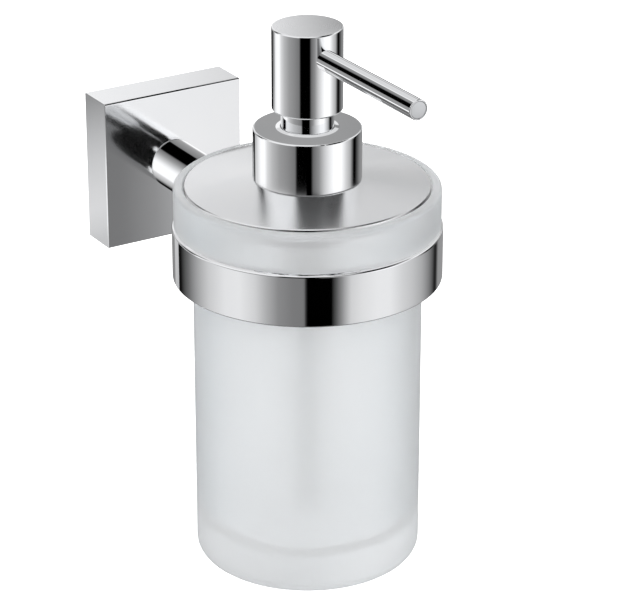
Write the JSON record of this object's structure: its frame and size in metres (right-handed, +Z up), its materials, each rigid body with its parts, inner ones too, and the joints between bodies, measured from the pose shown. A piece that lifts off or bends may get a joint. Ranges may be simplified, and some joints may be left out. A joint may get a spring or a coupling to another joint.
{
  "type": "wall mounted soap dispenser",
  "caption": "Square chrome rosette with a round arm and ring that hold a frosted glass tumbler with a pump and a straight spout in its lid.",
  "frame": {"origin": "centre of the rosette and wall plate on the wall face", "axes": "+Y goes into the wall, -Y into the room along the arm, +Z up along the pump's axis"},
  "size_m": [0.073, 0.1392, 0.1525],
  "materials": {
    "chrome": "polished chrome plate",
    "satin_metal": "satin chrome",
    "frosted_glass": "satin frosted",
    "zinc_steel": "zinc plated",
    "stainless": "plain stainless",
    "liner_plastic": "milky",
    "pump_plastic": "natural white",
    "tube_plastic": "milky translucent",
    "seal_rubber": "matt black"
  },
  "bodies": {
    "holder": {"wall_plate": "zinc_steel", "rosette": "chrome", "grub_screw": "stainless", "arm": "chrome", "arm_screw": "zinc_steel", "ring": "chrome", "ring_screw": "stainless", "ring_liner": "liner_plastic"},
    "tumbler": {"tumbler": "frosted_glass"},
    "lid": {"lid": "satin_metal", "lid_gasket": "seal_rubber", "pump_collar": "chrome", "pump_gasket": "seal_rubber", "pump_housing": "pump_plastic", "stem_guide": "pump_plastic", "ball_cage": "pump_plastic", "dip_tube": "tube_plastic", "pump_spring": "stainless"},
    "inlet_valve": {"inlet_ball": "stainless"},
    "plunger": {"stem": "pump_plastic", "piston": "pump_plastic", "piston_seal": "seal_rubber"},
    "outlet_valve": {"outlet_ball": "stainless"},
    "head": {"pump_head": "chrome", "head_socket": "pump_plastic", "neck_sleeve": "chrome", "spout": "chrome", "spout_plug": "satin_metal"}
  },
  "joints": [
    {"name": "tumbler_lift", "type": "slide", "parent": "holder", "child": "tumbler", "axis": [0, 0, 1], "range_m": [0, 0.1]},
    {"name": "lid_lift", "type": "slide", "parent": "tumbler", "child": "lid", "axis": [0, 0, 1], "range_m": [0, 0.11]},
    {"name": "head_press", "type": "slide", "parent": "lid", "child": "plunger", "axis": [0, 0, -1], "range_m": [0, 0.0047], "stiffness_N_per_m": 1300, "springref_m": -0.0045, "deforming": ["pump_spring"]},
    {"name": "head_swivel", "type": "hinge", "parent": "plunger", "child": "head", "pos_m": [0, -0.086, 0.04], "axis": [0, 0, 1], "continuous": true},
    {"name": "inlet_ball_lift", "type": "slide", "parent": "lid", "child": "inlet_valve", "axis": [0, 0, 1], "range_m": [0, 0.0015]},
    {"name": "outlet_ball_lift", "type": "slide", "parent": "plunger", "child": "outlet_valve", "axis": [0, 0, 1], "range_m": [0, 0.001]}
  ]
}
